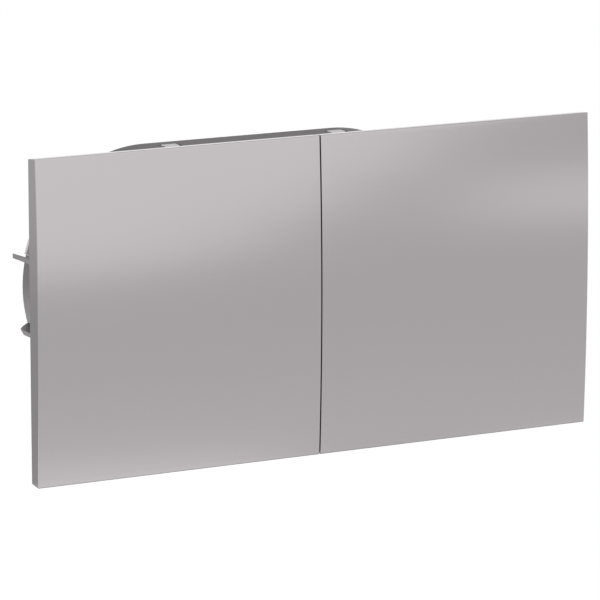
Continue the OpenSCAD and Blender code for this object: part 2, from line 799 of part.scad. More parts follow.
// Strip with two contacts, carried on a plunger's tail
module contact_bridge(side, half) {
  reach = contact_pitch / 2 + contact_d / 2 + snug;
  color("#c58a52") on_side(side) on_half(half) translate([mech_x, 0, plunger_z]) {
    difference() {
      block([-reach, collar_back, -strip_w / 2], [reach, bridge_back, strip_w / 2]);
      rod(0, 0, tail_d + 2 * running_fit, -far, far);
    }
    for (x = SIDES) rod(x * contact_pitch / 2, 0, contact_d, bridge_back, bridge_face);
  }
}

// Busbar that runs from a fixed strip back into its terminal
module busbar(z) {
  block([busbar_x, strip_front, z - strip_w / 2], [busbar_x + strip_t, clamp_end, z + strip_w / 2]);
}

// Strip that joins the two outer fixed contacts of a rocker to its middle terminal
module common_bar(side) {
  color("#c58a52") on_side(side) {
    block([outer_contact_x - strip_w / 2, strip_front, -plunger_z - strip_w / 2],
          [outer_contact_x + strip_w / 2, base_front, plunger_z + strip_w / 2]);
    block([busbar_x, strip_front, -strip_w / 2], [outer_contact_x, base_front, strip_w / 2]);
    busbar(0);
    for (z = SIDES) rod(outer_contact_x, z * plunger_z, contact_d, fixed_face, strip_front);
  }
}

// Strip from an inner fixed contact to the terminal beside it
module output_strip(side, half) {
  color("#c58a52") on_side(side) on_half(half) {
    block([busbar_x, strip_front, plunger_z - strip_w / 2],
          [inner_contact_x + strip_w / 2, base_front, plunger_z + strip_w / 2]);
    busbar(plunger_z);
    rod(inner_contact_x, plunger_z, contact_d, fixed_face, strip_front);
  }
}

// Box clamps in the three chambers of one side
module terminal_clamps(side) {
  color("#b8bcc0") on_side(side) for (row = [-1:1])
    slab(clamp_front, clamp_end) translate([term_x, row * plunger_z]) difference() {
      square([clamp_w, clamp_h], center = true);
      square([clamp_w - 2 * clamp_t, clamp_h - 2 * clamp_t], center = true);
    }
}

// Folded leaf springs in the three clamps of one side
module clamp_springs(side) {
  fold_y = clamp_front + snug;
  color("#9a9ea3") on_side(side) for (row = [-1:1])
    along_z(row * plunger_z - strip_w / 2, row * plunger_z + strip_w / 2) polygon([
      [leaf_x, fold_y],
      [leaf_x + leaf_t, fold_y],
      [entry_x, fold_y + leaf_rise],
      [entry_x - leaf_t, fold_y + leaf_rise + leaf_t],
      [leaf_x + leaf_t, fold_y + 2 * leaf_t],
      [leaf_x + leaf_t, clamp_end - leaf_t],
      [leaf_x, clamp_end - leaf_t]
    ]);
}

// Screwdriver slot across a screw's head whose face is at the given level
module driver_slot(d, face_y) {
  block([-d, face_y - slot_depth, -slot_w / 2], [d, face_y + slot_depth, slot_w / 2]);
}

// Four screws that hold the deck and the frame to the casing
module assembly_screws() {
  color("#c2c5c8") at_bosses() difference() {
    union() {
      rod(0, 0, screw_head_d, deck_front - screw_head_h, deck_front);
      rod(0, 0, screw_d, deck_front - screw_head_h, deck_front + screw_l);
    }
    driver_slot(screw_head_d, deck_front - screw_head_h);
  }
}

// Flat end of a claw's lower arm, with a slanting edge that is undercut to bite
module lug() {
  intersection() {
    block([lug_inner, web_end - claw_t, -arm_z - claw_t], [claw_outer, lug_end, -arm_z]);
    translate([lug_centre.x, lug_centre.y, -arm_z - claw_t])
      cylinder(r1 = lug_r - lug_bevel, r2 = lug_r, h = claw_t);
  }
}

// Bent sheet claw: a heel for the screw, a prong above and a lug below
module claw_pressing() {
  eye = [claw_pivot_x, claw_pivot_y];
  hip_y = heel_back_y + claw_t;
  difference() {
    union() {
      along_z(-arm_z, arm_z) translate([claw_inner, heel_front]) square([claw_t, web_end - heel_front]);
      along_z(-heel_w / 2, heel_w / 2)
        translate([heel_end, heel_front]) square([claw_outer - heel_end, claw_t]);
      along_z(arm_z, arm_z + claw_t) {
        translate(eye) circle(claw_eye_r);
        polygon([
          eye - [claw_eye_r, 0],
          eye + [claw_eye_r, 0],
          [claw_outer, hip_y],
          [claw_outer, web_end],
          [claw_outer + prong_lean, prong_end],
          [claw_outer + prong_lean - prong_tip, prong_end],
          [claw_outer - prong_w, web_end],
          [claw_outer - prong_w, hip_y]
        ]);
      }
      along_z(-arm_z - claw_t, -arm_z) {
        translate(eye) circle(claw_eye_r);
        polygon([
          eye - [claw_eye_r, 0],
          eye + [claw_eye_r, 0],
          [claw_outer, hip_y],
          [claw_outer, web_end],
          [lug_inner, web_end],
          [claw_outer - prong_w, hip_y]
        ]);
      }
      lug();
    }
    along_z(-far, far) translate(eye) circle(d = claw_pin_d + 2 * running_fit);
  }
}

// The right claw is the left one, turned half round
module claw(side) {
  color("#a3a5a8") {
    if (side == LEFT) mirror([1, 0, 0]) claw_pressing();
    else mirror([0, 0, 1]) claw_pressing();
  }
}

// Riveted pin through a claw's arms and the frame's ears
module claw_pin(side) {
  reach = ear_z + ear_t;
  color("#c9ccd0") on_side(side) translate([claw_pivot_x, claw_pivot_y, 0]) {
    along_z(-reach - pin_head, reach + pin_head) circle(d = claw_pin_d);
    for (half = SIDES) on_half(half) along_z(reach, reach + pin_head) circle(d = claw_pin_d + 2 * pin_head);
  }
}

// Slotted screw whose dog point pushes a claw's heel
module claw_screw(side) {
  head_back = frame_front - screw_advance - play;
  tip = heel_front - play;
  color("#c2c5c8") on_side(side) translate([claw_screw_x, 0, 0]) difference() {
    union() {
      rod(0, 0, claw_head_d, head_back - claw_head_h, head_back);
      rod(0, 0, claw_screw_d, head_back - claw_head_h, tip - dog_l);
      rod(0, 0, dog_d, head_back, tip);
    }
    driver_slot(claw_head_d, head_back - claw_head_h);
  }
}

rocker(LEFT);  // rocker_left
rocker(RIGHT);  // rocker_right
rocker_carrier(LEFT);  // rocker_carrier_left
rocker_carrier(RIGHT);  // rocker_carrier_right
axle(LEFT);  // axle_left
axle(RIGHT);  // axle_right
deck();
support_frame();
casing();
rear_cover();
contact_base();
plunger(LEFT, TOP);  // plunger_top_left
plunger(LEFT, BOTTOM);  // plunger_bottom_left
plunger(RIGHT, TOP);  // plunger_top_right
plunger(RIGHT, BOTTOM);  // plunger_bottom_right
return_spring(LEFT, TOP);  // return_spring_top_left
return_spring(LEFT, BOTTOM);  // return_spring_bottom_left
return_spring(RIGHT, TOP);  // return_spring_top_right
return_spring(RIGHT, BOTTOM);  // return_spring_bottom_right
contact_bridge(LEFT, TOP);  // contact_bridge_top_left
contact_bridge(LEFT, BOTTOM);  // contact_bridge_bottom_left
contact_bridge(RIGHT, TOP);  // contact_bridge_top_right
contact_bridge(RIGHT, BOTTOM);  // contact_bridge_bottom_right
common_bar(LEFT);  // common_bar_left
common_bar(RIGHT);  // common_bar_right
output_strip(LEFT, TOP);  // output_strip_top_left
output_strip(LEFT, BOTTOM);  // output_strip_bottom_left
output_strip(RIGHT, TOP);  // output_strip_top_right
output_strip(RIGHT, BOTTOM);  // output_strip_bottom_right
terminal_clamps(LEFT);  // terminal_clamps_left
terminal_clamps(RIGHT);  // terminal_clamps_right
clamp_springs(LEFT);  // clamp_springs_left
clamp_springs(RIGHT);  // clamp_springs_right
assembly_screws();
claw(LEFT);  // claw_left
claw(RIGHT);  // claw_right
claw_pin(LEFT);  // claw_pin_left
claw_pin(RIGHT);  // claw_pin_right
claw_screw(LEFT);  // claw_screw_left
claw_screw(RIGHT);  // claw_screw_right
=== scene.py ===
"""Looks of a flush wall switch with two spring-centred rockers.

Everything is in metres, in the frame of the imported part: X to the right along the wall, Y into the
wall and Z up, with the origin in the middle of the wall plane.
"""

import json
import logging
import math
from dataclasses import dataclass, field
from enum import Enum
from typing import Any, Optional

import bmesh
import bpy
from mathutils import Matrix, Vector


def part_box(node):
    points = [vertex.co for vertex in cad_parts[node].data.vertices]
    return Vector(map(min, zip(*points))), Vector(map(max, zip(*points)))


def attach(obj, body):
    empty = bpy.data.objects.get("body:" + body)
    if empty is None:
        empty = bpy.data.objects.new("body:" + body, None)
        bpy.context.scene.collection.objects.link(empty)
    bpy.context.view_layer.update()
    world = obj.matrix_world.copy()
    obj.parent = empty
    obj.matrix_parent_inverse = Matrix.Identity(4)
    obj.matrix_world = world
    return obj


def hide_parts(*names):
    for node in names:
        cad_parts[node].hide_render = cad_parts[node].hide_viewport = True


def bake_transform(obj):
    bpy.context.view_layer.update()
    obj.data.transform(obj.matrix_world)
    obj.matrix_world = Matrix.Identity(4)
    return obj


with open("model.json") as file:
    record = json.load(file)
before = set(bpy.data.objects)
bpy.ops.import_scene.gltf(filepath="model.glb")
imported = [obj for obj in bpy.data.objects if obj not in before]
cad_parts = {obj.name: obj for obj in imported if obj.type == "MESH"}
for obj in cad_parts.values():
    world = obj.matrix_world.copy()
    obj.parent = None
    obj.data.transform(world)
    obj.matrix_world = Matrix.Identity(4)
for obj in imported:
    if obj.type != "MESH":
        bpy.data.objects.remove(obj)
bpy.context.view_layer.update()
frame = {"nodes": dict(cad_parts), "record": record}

logging.basicConfig(level=logging.INFO, format="%(message)s")
log = logging.getLogger("wall_switch")

MM = 0.001
# An edge sharper than this is rounded, and faces within the second angle are joined into one
SHARP = math.radians(35)
FLAT = math.radians(0.5)
# Points this close are the same point, and edges shorter than a speck are taken out
SAME_PLACE = 0.001 * MM
SPECK = 0.02 * MM
# Sockets of a colour Mix node, whose names aren't unique
MIX_SHARE, MIX_A, MIX_B, MIX_RESULT = 0, 6, 7, 2
WHITE = "#ffffff"
BODIES = frame["record"]["behaviour"]["bodies"]
BODY_OF = {node: body for body, nodes in BODIES.items() for node in nodes}


class Side(Enum):
    """Left or right half of the switch, as the sign of X."""

    LEFT = -1
    RIGHT = 1


class Half(Enum):
    """Upper or lower half of the switch, as the sign of Z."""

    TOP = 1
    BOTTOM = -1


def linear(colour: str) -> tuple[float, float, float, float]:
    """Turns an sRGB hex colour into a linear one.

    Args:
        colour: Six hex digits after a hash sign.

    Returns:
        Red, green, blue and an alpha of 1.
    """
    shares = [int(colour[i:i + 2], 16) / 255 for i in (1, 3, 5)]
    # The curve of the sRGB standard: a straight foot, and a power of 2.4 above it
    red, green, blue = (s / 12.92 if s <= 0.04045 else ((s + 0.055) / 1.055) ** 2.4 for s in shares)
    return red, green, blue, 1.0


def add(
    tree: bpy.types.NodeTree, kind: str, inputs: Optional[dict[Any, Any]] = None, **settings: Any
) -> bpy.types.Node:
    """Adds a node to a tree, with its settings, values and links.

    Args:
        tree: Node tree that gets the node.
        kind: Blender's name of the node type.
        inputs: Value, or socket to link from, for each input by name or number.
        **settings: Properties of the node.

    Returns:
        The new node.
    """
    made = tree.nodes.new(kind)
    for name, value in settings.items():
        setattr(made, name, value)
    for name, value in (inputs or {}).items():
        if isinstance(value, bpy.types.NodeSocket):
            tree.links.new(value, made.inputs[name])
        else:
            made.inputs[name].default_value = value
    return made


def per_metre(size_mm: float) -> float:
    """Gives a texture scale at which one feature is about as wide as the given size."""
    return 1 / (size_mm * MM)


def fresh_tree(owner: Any) -> bpy.types.NodeTree:
    """Switches a material or world to nodes and empties its tree."""
    owner.use_nodes = True
    owner.node_tree.nodes.clear()
    return owner.node_tree


@dataclass(frozen=True)
class SatinLacquer:
    """Moulded ABS with a satin, aluminium-coloured lacquer.

    Fine metal flakes lie flat under a thin matt coat, so the colour is an even silver grey that
    brightens softly towards a light, and only a very slight orange peel breaks the reflection.
    """

    name: str = "satin_aluminium_lacquer_on_abs"
    slot: str = "satin_lacquer"
    pale: str = "#a7a3a4"
    deep: str = "#a39fa0"
    metallic: float = 0.9
    roughness: float = 0.11
    gloss_spread: float = 0.02
    ior: float = 1.5
    flake_mm: float = 0.35
    flake_detail: float = 3.0
    flake_harshness: float = 0.6
    peel_mm: float = 2.2
    peel_detail: float = 1.0
    peel_depth_mm: float = 0.05
    peel_strength: float = 0.02

    def material(self) -> bpy.types.Material:
        """Makes the node material.

        Returns:
            The lacquer.
        """
        made = bpy.data.materials.new(self.name)
        tree = fresh_tree(made)
        place = add(tree, "ShaderNodeTexCoord").outputs["Object"]
        # Real flakes are some 0.02 mm wide: these are drawn coarser, so that they show at all
        flakes = add(tree, "ShaderNodeTexNoise",
                     {"Vector": place, "Scale": per_metre(self.flake_mm),
                      "Detail": self.flake_detail, "Roughness": self.flake_harshness})
        tones = {MIX_SHARE: flakes.outputs["Fac"], MIX_A: linear(self.deep),
                 MIX_B: linear(self.pale)}
        colour = add(tree, "ShaderNodeMix", tones, data_type="RGBA")
        peel = add(tree, "ShaderNodeTexNoise",
                   {"Vector": place, "Scale": per_metre(self.peel_mm), "Detail": self.peel_detail})
        bump = add(tree, "ShaderNodeBump",
                   {"Height": peel.outputs["Fac"], "Strength": self.peel_strength,
                    "Distance": self.peel_depth_mm * MM})
        gloss = add(tree, "ShaderNodeMapRange",
                    {"Value": flakes.outputs["Fac"], "To Min": self.roughness - self.gloss_spread,
                     "To Max": self.roughness + self.gloss_spread})
        shader = add(tree, "ShaderNodeBsdfPrincipled",
                     {"Base Color": colour.outputs[MIX_RESULT], "Metallic": self.metallic,
                      "IOR": self.ior, "Roughness": gloss.outputs[0],
                      "Normal": bump.outputs["Normal"]})
        add(tree, "ShaderNodeOutputMaterial", {"Surface": shader.outputs[0]})
        return made


@dataclass(frozen=True)
class MouldedPlastic:
    """Injection-moulded plastic from a spark-eroded mould.

    The mould leaves a fine, even grit that scatters the light, so the surface is matt, and a
    worn tone lies over it in soft, random clouds.
    """

    name: str
    slot: str
    colour: str
    worn: str
    roughness: float = 0.48
    gloss_spread: float = 0.06
    specular: float = 0.5
    ior: float = 1.5
    grit_mm: float = 0.3
    grit_detail: float = 2.0
    grit_harshness: float = 0.7
    grit_depth_mm: float = 0.012
    grit_strength: float = 0.35
    cloud_mm: float = 14.0
    cloud_detail: float = 3.0
    cloud_harshness: float = 0.55
    cloud_range: tuple[float, float] = (0.35, 0.75)
    worn_share: float = 0.35

    def material(self) -> bpy.types.Material:
        """Makes the node material.

        Returns:
            The plastic.
        """
        made = bpy.data.materials.new(self.name)
        tree = fresh_tree(made)
        place = add(tree, "ShaderNodeTexCoord").outputs["Object"]
        clouds = add(tree, "ShaderNodeTexNoise",
                     {"Vector": place, "Scale": per_metre(self.cloud_mm),
                      "Detail": self.cloud_detail, "Roughness": self.cloud_harshness})
        clear, full = self.cloud_range
        share = add(tree, "ShaderNodeMapRange",
                    {"Value": clouds.outputs["Fac"], "From Min": clear, "From Max": full,
                     "To Min": 0.0, "To Max": self.worn_share})
        tones = {MIX_SHARE: share.outputs[0], MIX_A: linear(self.colour), MIX_B: linear(self.worn)}
        colour = add(tree, "ShaderNodeMix", tones, data_type="RGBA")
        # Spark grit is some 0.02 mm across: it is drawn coarser, so that it shows at all
        grit = add(tree, "ShaderNodeTexNoise",
                   {"Vector": place, "Scale": per_metre(self.grit_mm), "Detail": self.grit_detail,
                    "Roughness": self.grit_harshness})
        bump = add(tree, "ShaderNodeBump",
                   {"Height": grit.outputs["Fac"], "Strength": self.grit_strength,
                    "Distance": self.grit_depth_mm * MM})
        gloss = add(tree, "ShaderNodeMapRange",
                    {"Value": clouds.outputs["Fac"], "To Min": self.roughness - self.gloss_spread,
                     "To Max": self.roughness + self.gloss_spread})
        shader = add(tree, "ShaderNodeBsdfPrincipled",
                     {"Base Color": colour.outputs[MIX_RESULT], "Roughness": gloss.outputs[0],
                      "IOR": self.ior, "Specular IOR Level": self.specular,
                      "Normal": bump.outputs["Normal"]})
        add(tree, "ShaderNodeOutputMaterial", {"Surface": shader.outputs[0]})
        return made


@dataclass(frozen=True)
class RolledMetal:
    """Rolled or drawn metal, bare or plated.

    Rolling leaves fine scratches in one direction and the plating clouds a little, so the gloss
    is broken into short streaks and the colour wanders slightly.
    """

    name: str
    slot: str
    colour: str
    clouded: str
    roughness: float
    gloss_spread: tuple[float, float] = (0.08, 0.1)
    streak_mm: float = 0.35
    streak_detail: float = 2.0
    streak_depth_mm: float = 0.01
    streak_strength: float = 0.15
    stretch: tuple[float, float, float] = (0.08, 0.08, 1.0)
    cloud_mm: float = 5.0
    cloud_detail: float = 4.0
    cloud_harshness: float = 0.6

    def material(self) -> bpy.types.Material:
        """Makes the node material.

        Returns:
            The metal.
        """
        made = bpy.data.materials.new(self.name)
        tree = fresh_tree(made)
        place = add(tree, "ShaderNodeTexCoord").outputs["Object"]
        clouds = add(tree, "ShaderNodeTexNoise",
                     {"Vector": place, "Scale": per_metre(self.cloud_mm),
                      "Detail": self.cloud_detail, "Roughness": self.cloud_harshness})
        tones = {MIX_SHARE: clouds.outputs["Fac"], MIX_A: linear(self.colour),
                 MIX_B: linear(self.clouded)}
        colour = add(tree, "ShaderNodeMix", tones, data_type="RGBA")
        # Rolling scratches are some 0.01 mm wide: they are drawn coarser, so that they show at all
        along = add(tree, "ShaderNodeMapping", {"Vector": place, "Scale": self.stretch})
        streaks = add(tree, "ShaderNodeTexNoise",
                      {"Vector": along.outputs[0], "Scale": per_metre(self.streak_mm),
                       "Detail": self.streak_detail})
        bump = add(tree, "ShaderNodeBump",
                   {"Height": streaks.outputs["Fac"], "Strength": self.streak_strength,
                    "Distance": self.streak_depth_mm * MM})
        less, more = self.gloss_spread
        gloss = add(tree, "ShaderNodeMapRange",
                    {"Value": streaks.outputs["Fac"], "To Min": self.roughness - less,
                     "To Max": self.roughness + more})
        shader = add(tree, "ShaderNodeBsdfPrincipled",
                     {"Base Color": colour.outputs[MIX_RESULT], "Metallic": 1.0,
                      "Roughness": gloss.outputs[0], "Normal": bump.outputs["Normal"]})
        add(tree, "ShaderNodeOutputMaterial", {"Surface": shader.outputs[0]})
        return made


# Visible faces of the rockers: an even silver grey with a soft, wide reflection
LACQUER = SatinLacquer()
# Inside of the rockers: the moulding's own matt grey, where no lacquer reaches
BARE_ABS = MouldedPlastic("bare_grey_abs", "satin_lacquer", "#b4b2b1", "#a9a7a6", roughness=0.4)
# Casing: a dark, slightly warm grey that turns paler where it is seen along its surface
DARK_PLASTIC = MouldedPlastic("dark_grey_polycarbonate", "casing_plastic", "#666263", "#716d6e")
# Rear cover: nearly white, so that its noses and tabs stand out from the casing
LIGHT_PLASTIC = MouldedPlastic(
    "light_grey_polyamide", "cover_plastic", "#e6e2e3", "#dad6d7", roughness=0.42)
# Deck: a cooler mid grey, as glass-filled mouldings have
DECK_PLASTIC = MouldedPlastic("mid_grey_polyamide", "deck_plastic", "#85888d", "#7a7d82")
# Carriers and plungers: a slippery off-white with a soft shine
CARRIER_PLASTIC = MouldedPlastic(
    "natural_pom", "carrier_plastic", "#e4e2dc", "#d8d5cd", roughness=0.32)
# Contact base: a cream thermoset with a harder shine
INSULATOR = MouldedPlastic(
    "cream_urea_resin", "insulator_plastic", "#e6e2d5", "#d9d4c4", roughness=0.38)
# Support frame and clamps: bright, bluish and a little clouded
ZINC_SHEET = RolledMetal("zinc_plated_steel_sheet", "zinc_steel", "#c3c6c9", "#aeb2b6", 0.34)
# Claws: hardened sheet whose thin plating has gone dull
CLAW_SHEET = RolledMetal("zinc_plated_spring_sheet", "claw_steel", "#8c8a8b", "#7c7a7b", 0.36)
# Axles, pins and screws: smooth and nearly mirror-like
BRIGHT_STEEL = RolledMetal("bright_turned_steel", "bright_steel", "#cfd1d4", "#bdc0c4", 0.24)
# Return and clamp springs: drawn wire and strip with a grey sheen
SPRING_WIRE = RolledMetal("spring_steel_wire", "spring_steel", "#a5a9ae", "#93979d", 0.28)
# Contacts: warm and slightly tarnished
COPPER_ALLOY = RolledMetal("rolled_copper_alloy", "contact_copper", "#c98d55", "#b67a45", 0.3)


class Paintbox:
    """Keeps one material for each finish."""

    def __init__(self) -> None:
        """Starts with no material made."""
        self.made: dict[str, bpy.types.Material] = {}

    def get(self, finish: Any) -> bpy.types.Material:
        """Gives the material of a finish, and makes it at its first use.

        Args:
            finish: One of the finishes above.

        Returns:
            Its material.
        """
        if finish.name not in self.made:
            self.made[finish.name] = finish.material()
        return self.made[finish.name]


PAINTS = Paintbox()


def piece_from(
    name: str, bm: bmesh.types.BMesh, node: str, *finishes: Any, rides: bool = True
) -> bpy.types.Object:
    """Makes an object of a finished mesh that stands for a CAD node.

    Args:
        name: Name of the piece.
        bm: Mesh in the part's frame; it is freed.
        node: CAD node that the piece stands for.
        *finishes: Finishes of the piece, in the order of its material numbers.
        rides: Whether the piece moves with the node's body as a whole.

    Returns:
        The piece.
    """
    mesh = bpy.data.meshes.new(name)
    for face in bm.faces:
        face.smooth = True
    bm.to_mesh(mesh)
    bm.free()
    for finish in finishes:
        mesh.materials.append(PAINTS.get(finish))
    piece = bpy.data.objects.new(name, mesh)
    bpy.context.scene.collection.objects.link(piece)
    if rides:
        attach(piece, BODY_OF[node])
    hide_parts(node)
    log.info("%s stands for %s", name, node)
    return piece


def ease_edges(
    piece: bpy.types.Object, width_mm: float, segments: int = 2, weighted: bool = False
) -> None:
    """Rounds a piece's sharp edges, as a mould or a press leaves them.

    Args:
        piece: Piece whose edges are rounded.
        width_mm: Width of the rounding.
        segments: Steps of the rounding.
        weighted: Whether the mesh says which edges are rounded, and by what share of the width.
    """
    bevel = piece.modifiers.new("eased_edges", "BEVEL")
    bevel.width = width_mm * MM
    bevel.segments = segments
    bevel.limit_method = "WEIGHT" if weighted else "ANGLE"
    bevel.angle_limit = SHARP
    shade = piece.modifiers.new("even_shading", "WEIGHTED_NORMAL")
    shade.keep_sharp = True


def merged_copy(node: str) -> bmesh.types.BMesh:
    """Copies a CAD node's mesh with its triangles joined into whole faces.

    Args:
        node: Name of the CAD node.

    Returns:
        The joined mesh.
    """
    bm = bmesh.new()
    bm.from_mesh(frame["nodes"][node].data)
    bmesh.ops.remove_doubles(bm, verts=bm.verts, dist=SAME_PLACE)
    bmesh.ops.dissolve_degenerate(bm, dist=SPECK, edges=bm.edges)
    bmesh.ops.dissolve_limit(bm, angle_limit=FLAT, verts=bm.verts, edges=bm.edges)
    for edge in bm.edges:
        edge.smooth = edge.calc_face_angle(0.0) < SHARP
    return bm


def eased(node: str, finish: Any, edge_mm: float) -> bpy.types.Object:
    """Makes a finished copy of a CAD node with rounded edges.

    Args:
        node: Name of the CAD node.
        finish: Finish of the piece.
        edge_mm: Width of the rounding.

    Returns:
        The piece that stands for the node.
    """
    piece = piece_from(f"{node}_finished", merged_copy(node), node, finish)
    ease_edges(piece, edge_mm)
    return piece


def add_block(bm: bmesh.types.BMesh, low: Vector, high: Vector) -> None:
    """Adds a box between two corners to a mesh.

    Args:
        bm: Mesh that gets the box.
        low: Lowest corner.
        high: Highest corner.
    """
    verts = bmesh.ops.create_cube(bm, size=1.0)["verts"]
    bmesh.ops.scale(bm, vec=high - low, verts=verts)
    bmesh.ops.translate(bm, vec=(low + high) / 2, verts=verts)


def add_bar(
    bm: bmesh.types.BMesh, outline: list[tuple[float, float]], low_z: float, high_z: float
) -> None:
    """Adds an upright bar of a given section to a mesh.

    Args:
        bm: Mesh that gets the bar.
        outline: Corners of the section in X and Y, in order.
        low_z: Height of the bar's lower end.
        high_z: Height of its upper end.
    """
    section = bm.faces.new([bm.verts.new((x, y, low_z)) for x, y in outline])
    grown = bmesh.ops.extrude_face_region(bm, geom=[section])["geom"]
    top = [part for part in grown if isinstance(part, bmesh.types.BMVert)]
    bmesh.ops.translate(bm, vec=(0, 0, high_z - low_z), verts=top)


@dataclass
class Rocker:
    """Bowed cap with a skirt, and the ribs and hooks behind it."""

    side: Side
    bow_mm: float = 0.9
    skirt_mm: float = 3.2
    draft_mm: float = 0.35
    wall_mm: float = 1.4
    edge_mm: float = 0.26
    edge_steps: int = 4
    gap_edge_mm: float = 0.09
    upright_share: float = 0.5
    bow_steps: int = 64
    columns: int = 24
    rib_mm: float = 1.2
    rib_rise_mm: float = 0.8
    seat_pitch_mm: float = 14.0
    rib_gap_mm: float = 0.3
    hook_mm: float = 1.2
    hook_l_mm: float = 6.0
    hook_reach_mm: float = 1.0
    hook_z_mm: float = 8.0
    plate_mm: float = 1.4
    snug_mm: float = 0.1
    rib_edge_mm: float = 0.15

    @property
    def node(self) -> str:
        """Name of the CAD node of the cap."""
        return f"rocker_{self.side.name.lower()}"

    def build(self) -> None:
        """Makes the cap, and the ribs and hooks behind it."""
        self.build_cap()
        self.build_ribs()

    def faces_inside(self, face: bmesh.types.BMFace, middle: Vector, skirt_y: float) -> bool:
        """Tells whether a face of the cap looks into its hollow, which has no lacquer.

        Args:
            face: Face of the cap.
            middle: Middle of the cap's box.
            skirt_y: Level of the skirt's rear edge.

        Returns:
            Whether it is an inner face.
        """
        centre = face.calc_center_median()
        # A face that looks mostly forward or back is part of the cap's front or of the skirt's rim
        if abs(face.normal.y) > self.upright_share:
            return face.normal.y > 0 and centre.y < skirt_y - self.wall_mm * MM / 2
        return face.normal.dot(centre - middle) < 0

    def mark_edges(self, bm: bmesh.types.BMesh, gap_x: float, skirt_y: float) -> None:
        """Marks the cap's sharp edges, less at the gap and at the skirt's rear.

        Args:
            bm: Mesh of the cap.
            gap_x: Place of the gap between the two rockers.
            skirt_y: Level of the skirt's rear edge.
        """
        share = bm.edges.layers.float.new("bevel_weight_edge")
        wall = self.wall_mm * MM
        for edge in bm.edges:
            if edge.calc_face_angle(0.0) < SHARP:
                continue
            middle = (edge.verts[0].co + edge.verts[1].co) / 2
            full = abs(middle.x - gap_x) > wall and middle.y < skirt_y - wall
            edge[share] = 1.0 if full else self.gap_edge_mm / self.edge_mm

    def build_ribs(self) -> None:
        """Stands ribs on the carrier and hooks round its sides."""
        low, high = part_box(self.node)
        plate_low, plate_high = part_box(f"rocker_carrier_{self.side.name.lower()}")
        middle = (plate_low + plate_high) / 2
        wall, rib = self.wall_mm * MM, self.rib_mm * MM
        hook, snug = self.hook_mm * MM, self.snug_mm * MM
        root_y = low.y + wall / 2
        bm = bmesh.new()
        for sign in (-1, 1):
            seat_x = middle.x + sign * self.seat_pitch_mm * MM / 2
            add_block(bm, Vector((seat_x - rib / 2, root_y, plate_low.z)),
                      Vector((seat_x + rib / 2, plate_low.y, plate_high.z)))
            level_z = sign * (plate_high.z + self.rib_gap_mm * MM + rib / 2)
            level_y = low.y + self.bow_mm * MM
            add_block(bm, Vector((low.x + wall / 2, level_y, level_z - rib / 2)),
                      Vector((high.x - wall / 2, level_y + wall + self.rib_rise_mm * MM,
                              level_z + rib / 2)))
            inner_x = middle.x + sign * ((plate_high.x - plate_low.x) / 2 + snug)
            nose_y = plate_low.y + self.plate_mm * MM + snug
            outer_x, tip_x = inner_x + sign * hook, inner_x - sign * self.hook_reach_mm * MM
            outline = [(inner_x, root_y), (outer_x, root_y), (outer_x, nose_y + hook),
                       (tip_x, nose_y + hook), (tip_x, nose_y), (inner_x, nose_y)]
            for half in (-1, 1):
                hook_z = half * self.hook_z_mm * MM
                reach = self.hook_l_mm * MM / 2
                add_bar(bm, outline, hook_z - reach, hook_z + reach)
        bmesh.ops.recalc_face_normals(bm, faces=bm.faces)
        piece = piece_from(f"{self.node}_ribs", bm, self.node, BARE_ABS)
        ease_edges(piece, self.rib_edge_mm)

    def build_cap(self) -> None:
        """Spins the face about the bow's axis, draws the skirt back and thickens both."""
        low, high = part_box(self.node)
        half_h = (high.z - low.z) / 2
        edge_y = low.y + self.bow_mm * MM
        radius = (half_h ** 2 + (self.bow_mm * MM) ** 2) / (2 * self.bow_mm * MM)
        skirt_y = edge_y + self.skirt_mm * MM
        bm = bmesh.new()
        edge = bmesh.ops.create_grid(bm, x_segments=self.columns, y_segments=1, size=0.5)
        bmesh.ops.delete(bm, geom=[v for v in edge["verts"] if v.co.y > 0], context="VERTS")
        bmesh.ops.scale(bm, vec=(high.x - low.x, 1, 1), verts=bm.verts)
        for vert in bm.verts:
            vert.co.y, vert.co.z = edge_y, -half_h
        bmesh.ops.translate(bm, vec=((low.x + high.x) / 2, 0, 0), verts=bm.verts)
        bmesh.ops.spin(bm, geom=bm.verts[:] + bm.edges[:], cent=(0, low.y + radius, 0),
                       axis=(-1, 0, 0), angle=2 * math.asin(half_h / radius), steps=self.bow_steps,
                       use_duplicate=False)
        rim = [e for e in bm.edges if e.is_boundary]
        skirt = bmesh.ops.extrude_edge_only(bm, edges=rim)
        for vert in (g for g in skirt["geom"] if isinstance(g, bmesh.types.BMVert)):
            if abs(vert.co.z) > half_h - SAME_PLACE:
                vert.co.z -= math.copysign(self.draft_mm * MM, vert.co.z)
            vert.co.y = skirt_y
        bmesh.ops.recalc_face_normals(bm, faces=bm.faces)
        foremost = min(bm.faces, key=lambda f: f.calc_center_median().y)
        if foremost.normal.y > 0:
            bmesh.ops.reverse_faces(bm, faces=bm.faces)
        bmesh.ops.solidify(bm, geom=bm.faces[:], thickness=self.wall_mm * MM)
        bm.normal_update()
        middle = Vector(((low.x + high.x) / 2, skirt_y, 0))
        for face in bm.faces:
            face.material_index = int(self.faces_inside(face, middle, skirt_y))
        self.mark_edges(bm, high.x if self.side is Side.LEFT else low.x, skirt_y)
        piece = piece_from(f"{self.node}_cap", bm, self.node, LACQUER, BARE_ABS)
        ease_edges(piece, self.edge_mm, segments=self.edge_steps, weighted=True)


